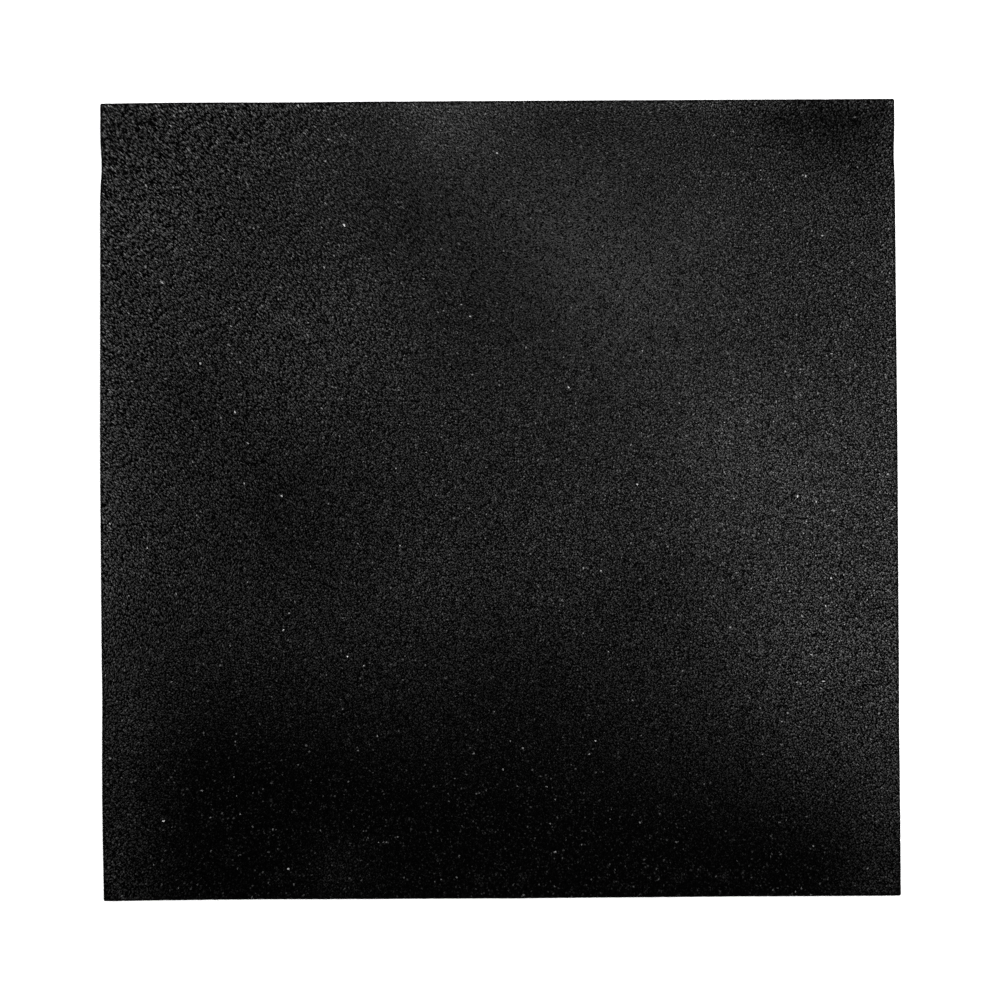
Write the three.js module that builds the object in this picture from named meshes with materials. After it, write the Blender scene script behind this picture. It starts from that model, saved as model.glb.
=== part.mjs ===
// Rubber gym floor tile, plain black, with straight butt edges.
//
// The tile is one slab: crumb from shredded tyres, bound with resin, hot-pressed flat and trimmed square.
// It has no layers, no interlocking teeth and no holes. Its walking face and its underside are both flat.
//
// Frame: millimetres, +Z up. The origin is the middle of the underside, which rests on the floor at z = 0.
// The four sides run along X and Y.

import * as THREE from "three";

// Driving dimensions, in millimetres. Each can be changed by itself.
const TILE_LENGTH = 1000; // along X
const TILE_WIDTH = 1000; // along Y
const TILE_THICKNESS = 20;
const CORNER_RADIUS = 2.5; // seen from above, where two sides meet
const ARRIS_RADIUS = 1; // along the rims of the walking face and the underside

// How finely the round stretches are cut.
const CORNER_SEGMENTS = 4;
const ARRIS_SEGMENTS = 4;

// Crumb rubber: close to black, matt, not a metal.
const crumbRubber = new THREE.MeshStandardMaterial({
  color: new THREE.Color(0.013, 0.013, 0.013),
  roughness: 0.8,
  metalness: 0,
});

// A rectangle centred on the origin, with a quarter circle at each corner, drawn anticlockwise.
function roundedRectangle(length, width, radius) {
  const x = length / 2 - radius;
  const y = width / 2 - radius;
  const quarter = Math.PI / 2;
  const outline = new THREE.Shape();
  outline.absarc(x, y, radius, 0, quarter);
  outline.absarc(-x, y, radius, quarter, 2 * quarter);
  outline.absarc(-x, -y, radius, 2 * quarter, 3 * quarter);
  outline.absarc(x, -y, radius, 3 * quarter, 4 * quarter);
  outline.closePath();
  return outline;
}

// The slab is the outline raised by the thickness. Its two rims are rounded inwards, so that the
// outline is the true size of the tile.
function makeTile() {
  const outline = roundedRectangle(TILE_LENGTH, TILE_WIDTH, CORNER_RADIUS);
  const geometry = new THREE.ExtrudeGeometry(outline, {
    depth: TILE_THICKNESS - 2 * ARRIS_RADIUS,
    curveSegments: CORNER_SEGMENTS,
    bevelEnabled: true,
    bevelThickness: ARRIS_RADIUS,
    bevelSize: ARRIS_RADIUS,
    bevelOffset: -ARRIS_RADIUS,
    bevelSegments: ARRIS_SEGMENTS,
  });
  const tile = new THREE.Mesh(geometry, crumbRubber);
  tile.name = "tile";
  tile.position.z = ARRIS_RADIUS; // the lower rim starts one radius below the extrusion's own zero
  return tile;
}

const gymTile = new THREE.Group();
gymTile.add(makeTile());

export default gymTile;
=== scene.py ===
# %% [markdown]
# # A rubber gym floor tile
#
# The real tile is shredded tyre rubber: black crumbs of one to three millimetres, wetted with a binder,
# pressed hot into a slab one metre square and two centimetres thick, and trimmed to plain butt edges.
# Nothing on it moves, so the whole lesson is about one slab and its surface: a mesh whose sides are not
# quite straight, a relief that a finger would feel, and three finishes, for the face that is walked on,
# the trimmed edge and the underside.
#
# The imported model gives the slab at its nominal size. It is loaded first and never changed. Every size
# below is worked out from it, so that the tile drawn here stays inside the tile that was packed.

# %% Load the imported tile
import math
import random

import bmesh
import bpy
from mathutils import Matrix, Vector, noise


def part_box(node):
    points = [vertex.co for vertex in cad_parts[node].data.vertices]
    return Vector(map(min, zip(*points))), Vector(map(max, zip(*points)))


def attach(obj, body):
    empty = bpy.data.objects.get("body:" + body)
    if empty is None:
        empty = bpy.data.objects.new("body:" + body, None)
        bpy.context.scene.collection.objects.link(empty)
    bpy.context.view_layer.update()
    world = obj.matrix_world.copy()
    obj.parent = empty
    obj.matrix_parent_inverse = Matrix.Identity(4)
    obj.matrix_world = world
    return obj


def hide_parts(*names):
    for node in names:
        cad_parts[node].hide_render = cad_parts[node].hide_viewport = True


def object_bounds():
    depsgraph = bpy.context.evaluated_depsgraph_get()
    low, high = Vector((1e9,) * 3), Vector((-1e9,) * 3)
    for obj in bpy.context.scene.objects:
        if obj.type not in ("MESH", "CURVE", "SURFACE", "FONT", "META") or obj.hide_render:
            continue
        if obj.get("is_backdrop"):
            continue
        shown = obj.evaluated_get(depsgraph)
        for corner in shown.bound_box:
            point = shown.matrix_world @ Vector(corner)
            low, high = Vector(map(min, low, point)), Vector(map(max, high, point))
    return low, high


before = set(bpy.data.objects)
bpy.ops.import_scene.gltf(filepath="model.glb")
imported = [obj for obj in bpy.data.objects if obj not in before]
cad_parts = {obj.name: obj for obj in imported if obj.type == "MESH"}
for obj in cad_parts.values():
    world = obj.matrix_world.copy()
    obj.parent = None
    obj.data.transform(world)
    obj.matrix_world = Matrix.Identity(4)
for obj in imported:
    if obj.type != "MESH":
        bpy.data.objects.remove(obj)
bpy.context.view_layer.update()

mm = 0.001  # Blender's unit is the metre

tile_low, tile_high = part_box("tile")
side_length = tile_high.x - tile_low.x
thickness = tile_high.z - tile_low.z
half = side_length / 2
top, floor_level = tile_high.z, tile_low.z
print(f"tile: {side_length / mm:.0f} mm square and {thickness / mm:.0f} mm thick")

# %% [markdown]
# ## Sides that are almost straight
#
# A rubber slab creeps a little after it has been cut, and it takes dents when it is dragged by an edge.
# On this tile the left side swells by a millimetre at its middle and its ends draw in, and the left and
# right sides each have a shallow dent near the far corner. A straight line there would look drawn.
#
# Each side has a short list of soft spots: the place along the side as a share of it, how many
# millimetres it goes in (a swell goes out, so it is negative) and how many it reaches. A bell curve
# spreads each one, and the side is then moved in by its largest swell, so that nothing leaves the packed
# outline.

# %% Soft spots along the four sides
SOFT_SPOTS = {
    "left": [(0.06, -1.1, 170), (0.42, 2.0, 25), (0.5, 0.6, 60), (-0.25, 0.6, 45), (-0.5, 1.5, 75)],
    "right": [(0.06, -0.5, 150), (0.43, 1.2, 24), (-0.29, 0.4, 50)],
    "far": [(-0.5, 0.7, 50), (-0.26, 0.4, 60)],
    "near": [(-0.5, -0.5, 50), (-0.31, 0.5, 90), (0.02, -0.3, 60), (0.29, 0.3, 60)],
}


def bell(distance, reach):
    """1 at the middle of a soft spot, falling smoothly to nothing about two reaches away."""
    return math.exp(-((distance / reach) ** 2))


def soft_depth(side, along):
    """How far the soft spots draw this side in, at a place from -half to half along it."""
    return sum(
        depth * mm * bell(along - share * side_length, reach * mm)
        for share, depth, reach in SOFT_SPOTS[side]
    )


SAMPLES_ALONG = 200
places_along = [half * (2 * k / SAMPLES_ALONG - 1) for k in range(SAMPLES_ALONG + 1)]
largest_swell = {side: max(-soft_depth(side, along) for along in places_along) for side in SOFT_SPOTS}
print("soft spots:", {side: len(spots) for side, spots in SOFT_SPOTS.items()})

# %% How far each side is drawn in
WANDER = 0.12 * mm  # the knife's own unsteadiness
WANDER_LENGTH = 35 * mm
SIDE_SEEDS = {"left": 11.0, "right": 23.0, "far": 37.0, "near": 53.0}


def draw_in(side, along):
    """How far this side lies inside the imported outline."""
    knife = WANDER * (1 + noise.noise(Vector((along / WANDER_LENGTH, SIDE_SEEDS[side], 0))))
    return largest_swell[side] + soft_depth(side, along) + knife


for side in SOFT_SPOTS:
    depths = [draw_in(side, along) / mm for along in places_along]
    print(f"{side} side lies {min(depths):.2f} to {max(depths):.2f} mm inside the outline")

# %% [markdown]
# ## One closed mesh, fine at the rim and coarser inside
#
# The outline of a thing this flat is seen long before its middle, so that is where the vertices go. The
# rim has one about every two millimetres. The walking face carries on with cells twice as wide, and the
# underside, which nobody sees, with cells four times as wide.
#
# Where fine meets coarse, a cell simply takes every rim vertex that it passes as a corner. That keeps the
# slab one closed skin with no gaps and no stray faces. A remesh would close it too, but it would need far
# more faces to keep the rim this fine.

# %% The lattice and the rim
RIM_STEPS = 480  # along each side
FACE_STRIDE = 2
UNDERSIDE_STRIDE = 4
ARRIS = 1 * mm  # the small rounding where a face turns into an edge
CORNER = 2.5 * mm
ARRIS_ROWS = 3
EDGE_ROWS = 6


def walk_round(i, j, steps):
    """The lattice places round a square, anticlockwise from its near left corner."""
    near = [(i + k, j) for k in range(steps)]
    right = [(i + steps, j + k) for k in range(steps)]
    far = [(i + steps - k, j + steps) for k in range(steps)]
    left = [(i, j + steps - k) for k in range(steps)]
    return near + right + far + left


def lattice_point(i, j):
    """A lattice place on the nominal square."""
    return Vector((side_length * i / RIM_STEPS - half, side_length * j / RIM_STEPS - half, 0))


def rim_point(i, j):
    """A rim place on the outline with its rounded corners, and the way straight out there."""
    flat = lattice_point(i, j)
    inner = half - CORNER
    core = Vector((max(-inner, min(inner, flat.x)), max(-inner, min(inner, flat.y)), 0))
    outward = (flat - core).normalized()
    return core + outward * CORNER, outward


def edge_profile():
    """From the walking face down to the underside: (how far in, height, how much it faces up)."""
    quarter = [math.pi / 2 * k / ARRIS_ROWS for k in range(ARRIS_ROWS + 1)]
    upper = [(ARRIS * (1 - math.sin(a)), top - ARRIS * (1 - math.cos(a)), math.cos(a)) for a in quarter]
    drop = (thickness - 2 * ARRIS) / EDGE_ROWS
    middle = [(0, top - ARRIS - drop * k, 0) for k in range(1, EDGE_ROWS)]
    lower = [(inset, floor_level + top - height, -up) for inset, height, up in reversed(upper)]
    return upper + middle + lower


profile = edge_profile()
rim = walk_round(0, 0, RIM_STEPS)
rim_spacing = side_length / RIM_STEPS
print(f"rim: {len(rim)} places, {rim_spacing / mm:.2f} mm apart, {len(profile)} rows high")

# %% [markdown]
# ## Relief
#
# Pressed crumb is not flat. The largest crumbs stand a fifth of a millimetre above the gaps between them,
# the slab rises and falls a little where more or less crumb fell into the mould, and the trimmed edge has
# small pits where the knife dragged crumbs out. Relief that is wider than a mesh cell is modelled here,
# and the finest grain is left to the finishes.
#
# Voronoi cells are the natural pattern for it, because packed grains and Voronoi cells come about in the
# same way: each crumb keeps the space that is nearer to it than to its neighbours.

# %% How deep the surface lies under its highest crumbs
CRUMB = 5.5 * mm  # the clusters that the mesh can hold
CRUMB_DEPTH = 0.22 * mm
FILL_LENGTH = 28 * mm  # how wide the slow rises are
FILL_DEPTH = 0.12 * mm
TORN_LENGTH = 6 * mm
TORN_DEPTH = 0.45 * mm
TORN_SHIFT = Vector((7, 7, 7))  # so that the pits don't follow the slow rises
TORN_LEAST = 0.25  # where the noise is below this, no crumb is missing


def crumb_gap(place):
    """0 on top of a crumb, up to 1 in the gap between crumbs."""
    distances, _ = noise.voronoi(place / CRUMB)
    return min(1, distances[0]) ** 2


def face_depth(place):
    """The relief of a pressed face."""
    fill = 0.5 + 0.5 * noise.noise(place / FILL_LENGTH)
    return CRUMB_DEPTH * crumb_gap(place) + FILL_DEPTH * max(0, fill)


def edge_depth(place):
    """The relief of a trimmed edge, where a crumb is missing here and there."""
    torn = max(0, noise.noise(place / TORN_LENGTH + TORN_SHIFT) - TORN_LEAST)
    return CRUMB_DEPTH * crumb_gap(place) + TORN_DEPTH * torn


# %% Draw the vertices in towards the middle where the sides are drawn in
YIELD_LENGTH = 40 * mm  # how far into the slab a drawn-in side is felt


def drawn(point):
    """The point, moved with the nearest sides."""
    x, y = point.x, point.y
    from_left, from_right = x + half, half - x
    from_near, from_far = y + half, half - y
    shift_x = draw_in("left", y) * bell(from_left, YIELD_LENGTH)
    shift_x -= draw_in("right", y) * bell(from_right, YIELD_LENGTH)
    shift_y = draw_in("near", x) * bell(from_near, YIELD_LENGTH)
    shift_y -= draw_in("far", x) * bell(from_far, YIELD_LENGTH)
    return point + Vector((shift_x, shift_y, 0))


# %% Build the trimmed edge, row by row
WALKING_FACE, TRIMMED_EDGE, UNDERSIDE = 0, 1, 2  # the slab's three finishes
LEVEL = 0.99  # only the top row faces up, and only the bottom row down, by more than this

slab = bmesh.new()
rings = []
for inset, height, up in profile:
    ring = []
    for i, j in rim:
        flat, outward = rim_point(i, j)
        place = drawn(flat - outward * inset) + Vector((0, 0, height))
        facing = outward * math.sqrt(1 - up * up) + Vector((0, 0, up))
        depth = face_depth(place) if up > LEVEL else edge_depth(place)
        if up < -LEVEL:
            depth = 0  # the slab stands on this row
        ring.append(slab.verts.new(place - facing * depth))
    rings.append(ring)

for upper, lower in zip(rings, rings[1:]):
    for k in range(len(rim)):
        after = (k + 1) % len(rim)
        face = slab.faces.new((upper[k], lower[k], lower[after], upper[after]))
        face.material_index = TRIMMED_EDGE
print(f"trimmed edge: {len(slab.faces)} faces")

# %% Close the slab with the walking face and the underside
FACE_JITTER = 0.22  # of a cell, so that the lattice doesn't show as rows
JITTER_SEED = 20

random.seed(JITTER_SEED)


def pave(ring, height, facing, stride, finish):
    """Closes the slab inside a ring with square cells."""
    corner_at = dict(zip(rim, ring))
    cell = side_length * stride / RIM_STEPS
    for i in range(stride, RIM_STEPS, stride):
        for j in range(stride, RIM_STEPS, stride):
            jitter = Vector((random.uniform(-1, 1), random.uniform(-1, 1), 0)) * cell * FACE_JITTER
            place = drawn(lattice_point(i, j) + jitter) + Vector((0, 0, height))
            corner_at[i, j] = slab.verts.new(place - Vector((0, 0, facing * face_depth(place))))
    for i in range(0, RIM_STEPS, stride):
        for j in range(0, RIM_STEPS, stride):
            corners = [corner_at[step] for step in walk_round(i, j, stride) if step in corner_at]
            face = slab.faces.new(corners if facing > 0 else corners[::-1])
            face.material_index = finish


pave(rings[0], top, 1, FACE_STRIDE, WALKING_FACE)
pave(rings[-1], floor_level, -1, UNDERSIDE_STRIDE, UNDERSIDE)
for face in slab.faces:
    face.smooth = True
print(f"closed: {len(slab.faces)} faces")

# %% [markdown]
# ## A flat map of the skin
#
# The finishes further down are circuits of nodes, which only Blender can read. To go anywhere else they
# are painted on one square picture, and this map says where each face of the slab lies on it. An
# automatic unwrap would give the underside as many pixels as the walking face, and the crumb would come
# out blurred.
#
# Here the walking face gets a square of nearly three quarters of the picture's side. The underside is cut
# into four quarters, laid in a row above it, and the four edges stand side by side in the strip that is
# left on the right. They are so thin that they can be given more of the picture across than along.

# %% Lay the faces on the map
FACE_SHARE = 0.735  # of the picture's side
MAP_GAP = 0.005  # between the pieces of the map
quarter_share = (1 - 5 * MAP_GAP) / 4  # four quarters and five gaps fill a side
edge_share = (1 - FACE_SHARE - 6 * MAP_GAP) / 4  # four edges and six gaps fill what is left


def on_walking_face(point, centre):
    """The walking face, seen from above."""
    return (
        MAP_GAP + FACE_SHARE * (point.x + half) / side_length,
        MAP_GAP + FACE_SHARE * (point.y + half) / side_length,
    )


def on_underside(point, centre):
    """One quarter of the underside, seen from below."""
    column = (centre.x < 0) + 2 * (centre.y > 0)
    across = (-point.x + (half if centre.x > 0 else 0)) / half
    along = (point.y + (0 if centre.y > 0 else half)) / half
    left = MAP_GAP + column * (quarter_share + MAP_GAP)
    return left + quarter_share * across, FACE_SHARE + 2 * MAP_GAP + quarter_share * along


def on_edge(side, along, row):
    """One of the four edges. The way along it, in rim steps, runs up the map, and its rows across."""
    left = FACE_SHARE + 2 * MAP_GAP + side * (edge_share + MAP_GAP)
    return left + edge_share * row / (len(profile) - 1), MAP_GAP + FACE_SHARE * along / RIM_STEPS


flat_map = slab.loops.layers.uv.new("OFBake")
lay_down = {WALKING_FACE: on_walking_face, UNDERSIDE: on_underside}
slab.faces.ensure_lookup_table()
edge_faces = len(rim) * (len(profile) - 1)
for face in slab.faces[edge_faces:]:
    centre = face.calc_center_median()
    for loop in face.loops:
        loop[flat_map].uv = lay_down[face.material_index](loop.vert.co, centre)
for index, face in enumerate(slab.faces[:edge_faces]):
    row, place = divmod(index, len(rim))
    side, along = divmod(place, RIM_STEPS)
    for loop, (step, down) in zip(face.loops, ((0, 0), (0, 1), (1, 1), (1, 0))):
        loop[flat_map].uv = on_edge(side, along + step, row + down)
print(f"map: {FACE_SHARE / side_length:.2f} of the picture to a metre of walking face")

# %% Turn it into an object
tile_mesh = bpy.data.meshes.new("rubber_tile")
slab.to_mesh(tile_mesh)
open_edges = sum(not edge.is_manifold for edge in slab.edges)
triangles = sum(len(face.verts) - 2 for face in slab.faces)
volume = slab.calc_volume()
slab.free()
print(f"slab: {triangles} triangles, {open_edges} open edges, {volume * 1000:.2f} litres")

tile = bpy.data.objects.new("rubber_tile", tile_mesh)
bpy.context.scene.collection.objects.link(tile)

# %% [markdown]
# ## Bloom with painted sheen, and pressing marks
#
# Black rubber does not stay evenly black. Waxes rise out of it and dry as a thin grey film, the bloom,
# which wear takes off again. The grey painted here is partly that bloom and partly painted sheen and a
# painted falloff of light. It is lightest on the right half, and it fades to nearly pure black along the
# near edge, where the painted light falls off. Only by the left and right sides is the face a little
# lighter even there. In a few places a painted sheen lies over the crumbs like a haze and evens them
# out, so that haze is kept apart from the rest.
#
# Nearly three centimetres inside each side there are also pairs of small pale marks, at the quarter
# points and at the middle. They look like the places where the mould held the slab.
#
# All three are soft and wide, so they are stored on the vertices, as numbers from 0 to 1 that the finish
# reads. An image would do as well, but it would have to be painted, and these are a few lines each.

# %% Where the bloom and the painted sheen lie
# (place across, place along, reach) as shares of the side, and how much more or less bloom and painted
# sheen there is.
PATCHES = [
    (0.36, 0.03, 0.15, 0.51),
    (0.27, 0.09, 0.06, 0.12),
    (0.46, -0.04, 0.08, 0.07),
    (0.40, -0.20, 0.10, 0.45),
    (0.42, -0.36, 0.09, 0.44),
    (0.16, 0.28, 0.10, 0.24),
    (0.07, 0.35, 0.07, 0.10),
    (0.27, 0.36, 0.04, 0.08),
    (0.18, 0.37, 0.05, -0.08),
    (-0.06, 0.48, 0.06, 0.38),
    (0.10, 0.48, 0.05, -0.10),
    (-0.12, 0.36, 0.07, -0.17),
    (0.03, -0.27, 0.13, -0.19),
    (0.20, -0.12, 0.07, -0.11),
    (0.08, -0.04, 0.07, 0.11),
    (-0.09, -0.10, 0.05, 0.08),
    (-0.46, 0.36, 0.08, 0.18),
    (-0.18, 0.23, 0.06, 0.07),
    (-0.30, 0.35, 0.06, -0.14),
    (-0.24, 0.21, 0.11, 0.09),
    (-0.27, -0.02, 0.12, -0.22),
    (0.42, 0.50, 0.09, -0.46),
    (0.40, 0.34, 0.10, 0.09),
    (0.00, 0.24, 0.10, -0.16),
    (-0.34, 0.44, 0.14, 0.11),
    (-0.38, 0.48, 0.04, 0.13),
    (-0.38, 0.12, 0.06, -0.10),
    (-0.37, -0.14, 0.12, 0.08),
]
# The same, near the edge that the painted falloff of light leaves nearly black.
NEAR_PATCHES = [(-0.20, -0.46, 0.04, 0.05), (-0.46, -0.26, 0.07, 0.11)]
FILM_AND_SHEEN = 0.37  # on all of the face but its near edge
FAR_SHEEN, FAR_RAMP = 0.09, (-0.1, 0.3)  # more of it from the middle to the far side, as painted sheen
RIGHT_SHEEN, RIGHT_RAMP = 0.07, (0.1, 0.45)  # and towards the right side, as painted sheen
RIM_LIFT, RIM_REACH = 0.38, 12 * mm  # and just inside all the sides but the near one
NEAR_FALLOFF_RAMP = (-0.41, -0.06)  # from the near edge, left nearly black by a painted falloff of light, to the whole grey
NEAR_FALLOFF_SLANT = 0.17  # the grey comes nearer to that edge on the right
SIDE_LIFT, SIDE_REACH = 0.19, 0.06  # a little more grey by the left and right sides, down to the near edge
SIDE_RAMP = (0.4, 0.0)  # less of it towards the far corners


def ramp(value, low, high):
    """0 at low, 1 at high and a smooth change between them, whichever of the two is larger."""
    share = max(0, min(1, (value - low) / (high - low)))
    return share * share * (3 - 2 * share)


def spread(patches, across, along):
    """The sum of soft round patches at one place."""
    return sum(much * bell(math.hypot(across - x, along - y), reach) for x, y, reach, much in patches)


def sheen_and_bloom_at(point):
    """How much bloom and painted sheen lie on the walking face, from 0 to 1, with the near edge darkened
    by a painted falloff of light.
    """
    across, along = point.x / side_length, point.y / side_length
    # A painted falloff of light darkens the near edge; the far and right sides are lightened as painted
    # sheen.
    from_near_edge = ramp(along + NEAR_FALLOFF_SLANT * across, *NEAR_FALLOFF_RAMP)
    film_and_sheen = FILM_AND_SHEEN + FAR_SHEEN * ramp(along, *FAR_RAMP) + RIGHT_SHEEN * ramp(across, *RIGHT_RAMP)
    by_the_sides = SIDE_LIFT * bell(0.5 - abs(across), SIDE_REACH) * ramp(along, *SIDE_RAMP)
    inset = half - max(abs(point.x), point.y)
    film_and_sheen += spread(PATCHES, across, along) + RIM_LIFT * bell(inset, RIM_REACH)
    return max(0, min(1, from_near_edge * film_and_sheen + by_the_sides + spread(NEAR_PATCHES, across, along)))


# %% Where painted sheen lies over the crumbs as a haze
SHEEN_HAZE = [
    (0.12, 0.30, 0.19, 0.53),
    (-0.06, 0.43, 0.16, 0.30),
    (0.32, 0.04, 0.18, 0.11),
]


def sheen_haze_at(point):
    """How far the painted sheen haze evens out the crumbs, from 0 to 1."""
    return min(1, spread(SHEEN_HAZE, point.x / side_length, point.y / side_length))


# %% Where the pressing marks are
MARK_INSET = 27 * mm
MARK_SPACING = 56 * mm  # between the two marks of a pair
MARK_LENGTH, MARK_WIDTH = 6 * mm, 5 * mm
MARK_END = 3 * MARK_WIDTH  # nothing of a mark is left further from its row than this
PAIR_SHARES = (-0.25, 0, 0.25)
mark_places = [
    side_length * share + way * MARK_SPACING / 2 for share in PAIR_SHARES for way in (-1, 1)
]


def mark_at(point):
    """How much of a pressing mark lies here, from 0 to 1."""
    found = 0
    for across, along in ((point.x, point.y), (point.y, point.x)):
        from_row = abs(abs(across) - (half - MARK_INSET))
        if from_row < MARK_END:
            nearest = min(abs(along - place) for place in mark_places)
            found += bell(from_row, MARK_WIDTH) * bell(nearest, MARK_LENGTH)
    return min(1, found)


# %% Store them on the vertices
# The rim itself is left at 0, which draws a thin black line round the tile: painted shade at the arris.
rim_vertices = len(rim) * len(profile)
half_way_up = floor_level + thickness / 2
layers = {"sheen_and_bloom": sheen_and_bloom_at, "sheen_haze": sheen_haze_at, "pressing_mark": mark_at}
on_face = [
    vertex.index for vertex in tile_mesh.vertices[rim_vertices:] if vertex.co.z > half_way_up
]
for name, measure in layers.items():
    layer = tile_mesh.attributes.new(name, "FLOAT", "POINT")
    for index in on_face:
        layer.data[index].value = measure(tile_mesh.vertices[index].co)
    values = [layer.data[index].value for index in on_face]
    print(f"{name}: {min(values):.2f} to {max(values):.2f} on {len(values)} vertices")

# %% [markdown]
# ## The finishes
#
# A material in Blender is a small circuit. These helpers keep each one short enough to read: `node` adds a
# node and sets its numbers, and a socket that is given another node's output is linked to it.

# %% Helpers for the finishes


class Finish:
    """A material that is built one node at a time."""

    def __init__(self, name):
        self.material = bpy.data.materials.new(name)
        self.material.use_nodes = True
        self.tree = self.material.node_tree
        self.tree.nodes.clear()

    def node(self, kind, settings=None, **sockets):
        """Adds a node. Spaces in a socket's name are written as underscores."""
        made = self.tree.nodes.new(kind)
        for name, value in (settings or {}).items():
            setattr(made, name, value)
        for name, value in sockets.items():
            self.feed(made.inputs[name.replace("_", " ")], value)
        return made

    def feed(self, socket, value):
        """Links another node's output to a socket, or sets its number."""
        if isinstance(value, bpy.types.NodeSocket):
            self.tree.links.new(value, socket)
        else:
            socket.default_value = value

    def math(self, operation, *values):
        """A sum on one, two or three values."""
        made = self.tree.nodes.new("ShaderNodeMath")
        made.operation = operation
        for socket, value in zip(made.inputs, values):
            self.feed(socket, value)
        return made.outputs[0]

    def vector(self, operation, *values):
        """The same on places. Another node's single number counts for all three directions."""
        made = self.tree.nodes.new("ShaderNodeVectorMath")
        made.operation = operation
        for socket, value in zip(made.inputs, values):
            self.feed(socket, value)
        return made.outputs["Value" if operation == "LENGTH" else "Vector"]

    def stretch(self, value, low, high, new_low, new_high):
        """Carries a smooth stretch of one range over to another."""
        made = self.node(
            "ShaderNodeMapRange",
            {"interpolation_type": "SMOOTHSTEP"},
            From_Min=low,
            From_Max=high,
            To_Min=new_low,
            To_Max=new_high,
            Value=value,
        )
        return made.outputs["Result"]

    def stored(self, name):
        """Reads what is stored on the vertices under a name."""
        return self.node("ShaderNodeAttribute", {"attribute_name": name}).outputs["Fac"]


# %% [markdown]
# ## Pressed crumb
#
# All three finishes start from the same thing, so it is one function: packed crumbs with pores between
# them, painted black as painted shade. Each crumb is a Voronoi cell, painted brightest on its crown and
# dark at its sides, which is painted shading, because that is how a small dull dome looks from above.
# Even rows of cells would look like a honeycomb and a wholly random scatter like dust, so the cells are
# set a little unevenly and then bent by a soft noise.
#
# The crumbs are not all painted alike: most are dull and a few are bright, with fewer the brighter they
# are. Partly that is the crumbs' own tone and partly painted glint, where a facet would catch the light.
# A power of a random number of each crumb's own gives that.

# %% The crumb pattern
CRUMB_SIZE = 2.3 * mm
CRUMB_SCATTER = 0.75  # 0 would be even rows, 1 a random scatter
BEND_SIZE = 2.5 * mm
BEND = 2.6 * mm  # from one end of the noise to the other, and most of it stays near the middle
CROWN = 0.1  # how far from its middle a crumb is at its brightest, in cells
FLAT_REACH = 0.58  # how far from its middle it ends where the pattern is flat, in cells
ROUND_REACH = 0.7  # the same in the solid pattern, where few crumbs are cut through their middle


def object_place(finish):
    """Where a point of the surface lies on the object, in metres."""
    return finish.node("ShaderNodeTexCoord").outputs["Object"]


class Crumbs:
    """One pattern of crumbs: its cells, the random numbers of each, and its domes."""

    def __init__(self, finish, place, flat):
        self.place = place
        soft = finish.node("ShaderNodeTexNoise", Vector=place, Scale=1 / BEND_SIZE, Detail=0.0)
        bent = finish.vector("MULTIPLY_ADD", soft.outputs["Color"], (BEND, BEND, BEND), place)
        cells = finish.node(
            "ShaderNodeTexVoronoi",
            {"voronoi_dimensions": "2D" if flat else "3D"},
            Vector=bent,
            Scale=1 / CRUMB_SIZE,
            Randomness=CRUMB_SCATTER,
        )
        own = finish.node("ShaderNodeSeparateColor", Color=cells.outputs["Color"])
        self.red, self.green, self.blue = own.outputs
        reach = FLAT_REACH if flat else ROUND_REACH
        self.dome = finish.stretch(cells.outputs["Distance"], CROWN, reach, 1.0, 0.0)


print(f"crumbs: {CRUMB_SIZE / mm:.1f} mm, about {side_length / CRUMB_SIZE:.0f} in a row")

# %% Their grey and their height
PORE_SIZE = 1.6 * mm
PORE_OPEN, PORE_SHUT = 0.42, 0.54  # the noise at the bottom of a pore and at its rim
PORE_SHADE_GREY = 0.01  # what a pore leaves of the tone, as painted shade in the pore
BRIGHT_POWER = -0.13  # the nearer to 0, the more alike the crumbs are
OVER_ONE = 1.0001  # so that what a random number leaves of it is never 0
DULLEST = 0.78  # taken off every crumb's brightness, whose least is 1
EVEN_CRUMB = 5.8  # brings the average over the flat pattern, before its pores, to about 0.8
DUST_SIZE = 0.6 * mm
UNEVEN_HEIGHT, PORE_DEPTH, DUST_HEIGHT = 0.6, 1.0, 0.3  # where the dome of a crumb is 1 high


def pressed_crumb(finish, crumbs, sheen_haze=0.0):
    """The crumb's grey, with painted shading on its dome and painted shade in its pores, and its height in
    crumbs.
    """
    pores = finish.node("ShaderNodeTexNoise", Vector=crumbs.place, Scale=1 / PORE_SIZE, Detail=1.0)
    dust = finish.node("ShaderNodeTexNoise", Vector=crumbs.place, Scale=1 / DUST_SIZE, Detail=1.0)
    # The pores are painted nearly black: painted shade in the gaps between the crumbs.
    closed = finish.stretch(pores.outputs["Fac"], PORE_OPEN, PORE_SHUT, PORE_SHADE_GREY, 1.0)
    # Each crumb's own brightness: partly its tone and partly painted glint of a facet that catches the
    # light.
    rare = finish.math("POWER", finish.math("SUBTRACT", OVER_ONE, crumbs.red), BRIGHT_POWER)
    bright = finish.math("MULTIPLY", finish.math("SUBTRACT", rare, DULLEST), EVEN_CRUMB)
    # Painted shading: each crumb is painted brightest on its crown and dark at its sides, as a dome lit
    # from above.
    crown = finish.math("MULTIPLY", bright, crumbs.dome)
    # Where painted sheen lies as a haze, each crumb's grey is pulled up towards 1 and the crumbs even out.
    film_and_sheen = finish.math("MULTIPLY_ADD", sheen_haze, finish.math("SUBTRACT", 1.0, crown), crown)
    grey = finish.math("MULTIPLY", film_and_sheen, closed)
    height = finish.math("MULTIPLY_ADD", crumbs.green, UNEVEN_HEIGHT, crumbs.dome)
    height = finish.math("MULTIPLY_ADD", closed, PORE_DEPTH, height)
    height = finish.math("MULTIPLY_ADD", dust.outputs["Fac"], DUST_HEIGHT, height)
    return grey, height


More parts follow.
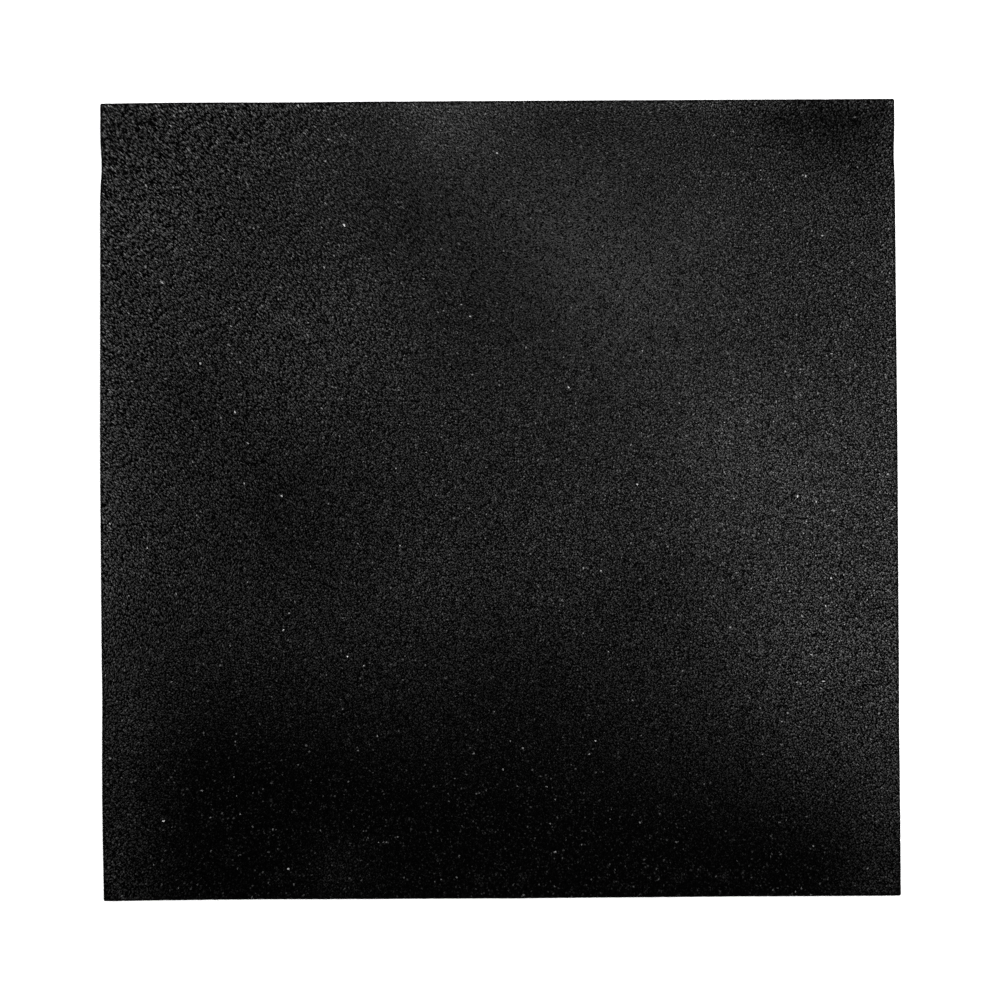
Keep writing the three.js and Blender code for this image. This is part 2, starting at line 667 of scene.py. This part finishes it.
# %% [markdown]
# Towards the rim of the face the crumbs are drawn out a little, all of them away from its middle, as if
# the crumb had flowed outwards under the press. In the far left corner they lie as short thin streaks.
# What is changed for that is not the pattern but the place that it is read at. Places far out are pulled
# towards the middle, so the same stretch of pattern has to cover a longer stretch of rubber, and the
# streaks grow out of the round crumbs without a border.
#
# A pull towards the middle also widens the crumbs. The far left corner is therefore pushed in along the
# tile's diagonal alone, and squeezed a little across it. The pattern is turned by 45 degrees first, to
# make the diagonal one of its own axes.

# %% Streaks that point away from the middle
STREAK_MIDDLE = Vector((0.06, -0.05, 0)) * side_length
PULL_START, PULL_END = 0.3 * side_length, 1.1 * side_length
PULL = 0.15  # the share of the distance that is taken off at the end of the pull
PUSH_START = 0.24 * side_length  # from the middle, along the diagonal
PUSH_EASE = 0.12 * side_length  # how gently the push sets in
PUSH = 0.42  # the share of the way beyond its start that it takes off in the end
NARROW = 0.3  # how much finer the crumb gets across the streaks


def streaked(finish, place):
    """The place, moved towards the middle of the face, and more so the further out it lies."""
    from_middle = finish.vector("SUBTRACT", place, STREAK_MIDDLE)
    distance = finish.vector("LENGTH", from_middle)
    left_over = finish.stretch(distance, PULL_START, PULL_END, 1.0, 1.0 - PULL)
    pulled = finish.vector("MULTIPLY", from_middle, left_over)
    turn = (0, 0, math.radians(45))
    turned = finish.node("ShaderNodeMapping", Vector=pulled, Rotation=turn).outputs["Vector"]
    x, y, z = finish.node("ShaderNodeSeparateXYZ", Vector=turned).outputs
    beyond = finish.math("MAXIMUM", finish.math("SUBTRACT", -PUSH_START, x), 0.0)
    eased = finish.math("DIVIDE", beyond, finish.math("ADD", beyond, PUSH_EASE))
    x = finish.math("MULTIPLY_ADD", finish.math("MULTIPLY", beyond, eased), PUSH, x)
    y = finish.math("MULTIPLY", y, finish.math("MULTIPLY_ADD", eased, NARROW, 1.0))
    return finish.node("ShaderNodeCombineXYZ", X=x, Y=y, Z=z).outputs["Vector"]


# %% [markdown]
# Here and there a crumb is painted much paler than rubber. Partly these are road grit, thread ends and
# crumbs with their bloom left on, and partly painted glints, where a crumb's facet would catch the light.
# These flecks show best where the tile is blackest. Counted in the picture, flecks that are twice as
# bright are about three times as rare, all the way from the dimmest to the brightest, and a power of a
# second random number gives that as well.

# %% Flecks of grit and painted glint
GRIT_AND_GLINT_GREY = 0.0021
FLECK_POWER = -0.57
FLECK_MOST = 0.8
FLECK_OVER_ONE = 1.00002  # nearer to 1, because the rarest flecks are hundreds of times as bright


def grit_and_glints(finish, crumbs):
    """How much paler each crumb is painted, as grit and as painted glint: next to nothing for most, and
    much for a few.
    """
    rare = finish.math("POWER", finish.math("SUBTRACT", FLECK_OVER_ONE, crumbs.blue), FLECK_POWER)
    pale = finish.math("MULTIPLY_ADD", rare, GRIT_AND_GLINT_GREY, -GRIT_AND_GLINT_GREY)  # the least of them comes to 0
    pale = finish.math("MINIMUM", pale, FLECK_MOST)
    return finish.math("MULTIPLY", pale, crumbs.dome)


# %% From pattern to shader
def black_rubber(finish, tone, height, relief, roughness, shine):
    """Puts the tone, the grain and the gloss on the shader."""
    colour = finish.node("ShaderNodeCombineColor", Red=tone, Green=tone, Blue=tone)
    bump = finish.node("ShaderNodeBump", Strength=1.0, Distance=relief, Height=height)
    shader = finish.node(
        "ShaderNodeBsdfPrincipled",
        Base_Color=colour.outputs["Color"],
        Roughness=roughness,
        Specular_IOR_Level=shine,
        Normal=bump.outputs["Normal"],
    )
    finish.node("ShaderNodeOutputMaterial", Surface=shader.outputs["BSDF"])


# %% The walking face
BARE_BLACK = 0.0002
SHEEN_AND_BLOOM_GREY = 0.0518
MARK_GREY = 0.005
FACE_RELIEF = 0.15 * mm
FACE_ROUGHNESS = (0.55, 0.8)  # the glossiest crumb and the dullest
FACE_SHINE = 0.25


def walking_face_finish():
    """Black crumb under a patchy grey that is partly bloom and partly painted sheen and falloff of light.
    """
    finish = Finish("walking_face")
    sheen_and_bloom, sheen_haze, mark = (finish.stored(name) for name in ("sheen_and_bloom", "sheen_haze", "pressing_mark"))
    crumbs = Crumbs(finish, streaked(finish, object_place(finish)), flat=True)
    grey, height = pressed_crumb(finish, crumbs, sheen_haze)
    # Rubber black lifted by bloom and painted sheen, darkened at the near edge by a painted falloff of
    # light.
    film_and_sheen = finish.math("MULTIPLY_ADD", sheen_and_bloom, SHEEN_AND_BLOOM_GREY, BARE_BLACK)
    film_and_sheen = finish.math("MULTIPLY_ADD", mark, MARK_GREY, film_and_sheen)
    tone = finish.math("MULTIPLY_ADD", film_and_sheen, grey, grit_and_glints(finish, crumbs))
    roughness = finish.stretch(crumbs.green, 0.0, 1.0, *FACE_ROUGHNESS)
    black_rubber(finish, tone, height, FACE_RELIEF, roughness, FACE_SHINE)
    return finish.material


# %% The trimmed edge and the underside
EDGE_BLACK = 0.032
EDGE_RELIEF = 0.35 * mm
EDGE_SHINE = 0.08
UNDERSIDE_BLACK = 0.0143
UNDERSIDE_RELIEF = 0.12 * mm
UNDERSIDE_SHINE = 0.2
PLAIN_ROUGHNESS = (0.6, 0.85)


def plain_crumb_finish(name, black, relief, shine):
    """Crumb with no bloom on it."""
    finish = Finish(name)
    crumbs = Crumbs(finish, object_place(finish), flat=False)
    grey, height = pressed_crumb(finish, crumbs)
    tone = finish.math("MULTIPLY_ADD", grey, black, grit_and_glints(finish, crumbs))
    roughness = finish.stretch(crumbs.green, 0.0, 1.0, *PLAIN_ROUGHNESS)
    black_rubber(finish, tone, height, relief, roughness, shine)
    return finish.material


for material in (
    walking_face_finish(),
    plain_crumb_finish("trimmed_edge", EDGE_BLACK, EDGE_RELIEF, EDGE_SHINE),
    plain_crumb_finish("underside", UNDERSIDE_BLACK, UNDERSIDE_RELIEF, UNDERSIDE_SHINE),
):
    tile_mesh.materials.append(material)
print("finishes:", ", ".join(material.name for material in tile_mesh.materials))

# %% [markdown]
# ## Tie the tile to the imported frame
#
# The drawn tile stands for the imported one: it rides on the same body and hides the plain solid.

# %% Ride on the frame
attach(tile, "root")
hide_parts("tile")

# %% [markdown]
# ## A pale floor and soft light
#
# Black rubber on a white floor is about the widest contrast that a picture can hold. A photographer
# lights the two apart: the floor glows a little, like a light table, so that no shadow greys it at the
# tile's edge, one wide lamp overhead gives even light, and black cards keep that lamp's reflection off
# the rubber. In Blender the cards are one setting: the lamp is hidden from glossy rays. A single smaller
# softbox beyond the far right corner is left for the rubber to reflect, which gives the crumbs their
# glint.

# %% The floor
FLOOR_RADIUS = 30.0
FLOOR_SEGMENTS = 96
FLOOR_WHITE = 0.9
FLOOR_GLOW = 0.4
FLOOR_ROUGHNESS, FLOOR_SHINE = 0.9, 0.1

floor_mesh = bpy.data.meshes.new("floor")
disc = bmesh.new()
bmesh.ops.create_circle(disc, cap_ends=True, segments=FLOOR_SEGMENTS, radius=FLOOR_RADIUS)
disc.to_mesh(floor_mesh)
disc.free()
floor = bpy.data.objects.new("floor", floor_mesh)
floor.location.z = floor_level
bpy.context.scene.collection.objects.link(floor)
floor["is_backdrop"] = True

pale = Finish("pale_floor")
board = pale.node(
    "ShaderNodeBsdfPrincipled",
    Base_Color=(FLOOR_WHITE, FLOOR_WHITE, FLOOR_WHITE, 1),
    Roughness=FLOOR_ROUGHNESS,
    Specular_IOR_Level=FLOOR_SHINE,
    Emission_Color=(1, 1, 1, 1),
    Emission_Strength=FLOOR_GLOW,
)
pale.node("ShaderNodeOutputMaterial", Surface=board.outputs["BSDF"])
floor_mesh.materials.append(pale.material)
print(f"floor: a disc {2 * FLOOR_RADIUS:.0f} m across")

# %% The lamps
OVERHEAD_STRENGTH = 3.5
OVERHEAD_SPREAD = 60  # degrees
OVERHEAD_LEAN = 12  # about how many degrees from straight down, towards the near left corner
OVERHEAD_DISTANCE = 3  # any number would do, because a sun shines alike from every distance
SHEEN_PLACE = Vector((0.75, 0.55, 2.0))
SHEEN_AIM = Vector((0.2, 0.15, 0))
SHEEN_SIZE = 0.9
SHEEN_WATTS = 2


def hang(name, lamp, place, aim):
    """Hangs a lamp in the studio, facing a point, where the camera doesn't see it."""
    holder = bpy.data.objects.new(name, lamp)
    holder.location = place
    holder.rotation_mode = "QUATERNION"
    holder.rotation_quaternion = (aim - place).to_track_quat("-Z", "Y")
    holder.visible_camera = False
    bpy.context.scene.collection.objects.link(holder)
    return holder


overhead = bpy.data.lights.new("overhead", "SUN")
overhead.energy = OVERHEAD_STRENGTH
overhead.angle = math.radians(OVERHEAD_SPREAD)
lean = math.sin(math.radians(OVERHEAD_LEAN)) * math.sqrt(0.5)  # as far to the right as to the back
overhead_place = Vector((lean, lean, 1)) * OVERHEAD_DISTANCE
overhead_holder = hang("overhead", overhead, overhead_place, Vector((0, 0, 0)))
overhead_holder.visible_glossy = False

sheen = bpy.data.lights.new("sheen", "AREA")
sheen.size = SHEEN_SIZE
sheen.energy = SHEEN_WATTS
hang("sheen", sheen, SHEEN_PLACE, SHEEN_AIM)
print("lamps:", ", ".join(lamp.name for lamp in bpy.data.lights))

# %% [markdown]
# The room is white at the horizon, so that a low camera sees no line behind the tile, and dark overhead,
# where it would only put a grey veil on the rubber. The rubber mirrors a much dimmer room, as if black
# cloth hung round the tile just out of the picture. Seen from above it mirrors the dark ceiling and
# stays black. Seen from the side it gets the grey sheen that black rubber has at a low angle.

# %% The room
ROOM_WHITE = 1.3
ROOM_DARK = 0.03
MIRRORED_WHITE = 0.16
SEEN_FADE = (0.14, 0.45)  # the last white and the first dark, 0 being the horizon and 1 overhead
MIRRORED_FADE = (0.05, 0.40)


def room_light():
    """The room's light by its height above the horizon, for the camera and the rubber apart."""
    room = bpy.data.worlds.new("studio_room")
    room.use_nodes = True
    nodes, links = room.node_tree.nodes, room.node_tree.links
    nodes.clear()
    split = nodes.new("ShaderNodeSeparateXYZ")
    links.new(nodes.new("ShaderNodeTexCoord").outputs["Generated"], split.inputs[0])
    fades = []
    for name, (low, high), white, dark in (
        ("seen", SEEN_FADE, ROOM_WHITE, ROOM_DARK),
        ("mirrored", MIRRORED_FADE, MIRRORED_WHITE, 0.0),
    ):
        fade = nodes.new("ShaderNodeMapRange")
        fade.label = name
        fade.interpolation_type = "SMOOTHSTEP"
        fade.inputs["From Min"].default_value = low
        fade.inputs["From Max"].default_value = high
        fade.inputs["To Min"].default_value = white
        fade.inputs["To Max"].default_value = dark
        links.new(split.outputs["Z"], fade.inputs["Value"])
        fades.append(fade.outputs["Result"])
    either = nodes.new("ShaderNodeMix")
    links.new(nodes.new("ShaderNodeLightPath").outputs["Is Glossy Ray"], either.inputs["Factor"])
    links.new(fades[0], either.inputs["A"])
    links.new(fades[1], either.inputs["B"])
    glow = nodes.new("ShaderNodeBackground")
    glow.inputs["Color"].default_value = (1, 1, 1, 1)
    links.new(either.outputs["Result"], glow.inputs["Strength"])
    links.new(glow.outputs[0], nodes.new("ShaderNodeOutputWorld").inputs["Surface"])
    return room


bpy.context.scene.world = room_light()
print("room:", bpy.context.scene.world.name)

# %% [markdown]
# ## The camera
#
# The tile is seen from straight above. The camera was not quite square to it: it is turned by a third of
# a degree and leans by less than one, so the near side is half a percent longer than the far one. The
# place and the turns below come from where the tile's four corners lie in the picture, with a lens of
# 70 mm, which is long enough to keep the tile's edges straight from every side.

# %% Set the camera
LENS = 70
CAMERA_PLACE = Vector((-0.0061, -0.0309, 2.4547))
CAMERA_TURNS = (0.692, -0.159, -0.341)  # degrees round X, Y and Z

camera_data = bpy.data.cameras.new("camera")
camera_data.lens = LENS
camera = bpy.data.objects.new("camera", camera_data)
camera.location = CAMERA_PLACE
camera.rotation_euler = [math.radians(turn) for turn in CAMERA_TURNS]
bpy.context.scene.collection.objects.link(camera)
bpy.context.scene.camera = camera
bpy.context.scene.view_settings.view_transform = "Standard"
print(f"camera: a {LENS} mm lens {CAMERA_PLACE.z:.2f} m above the floor")

# %% Print the sizes, and finish
drawn_low, drawn_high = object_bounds()
for end, corner in (("lowest", drawn_low), ("highest", drawn_high)):
    print(f"{end} corner drawn, in mm:", [round(x / mm, 2) for x in corner])
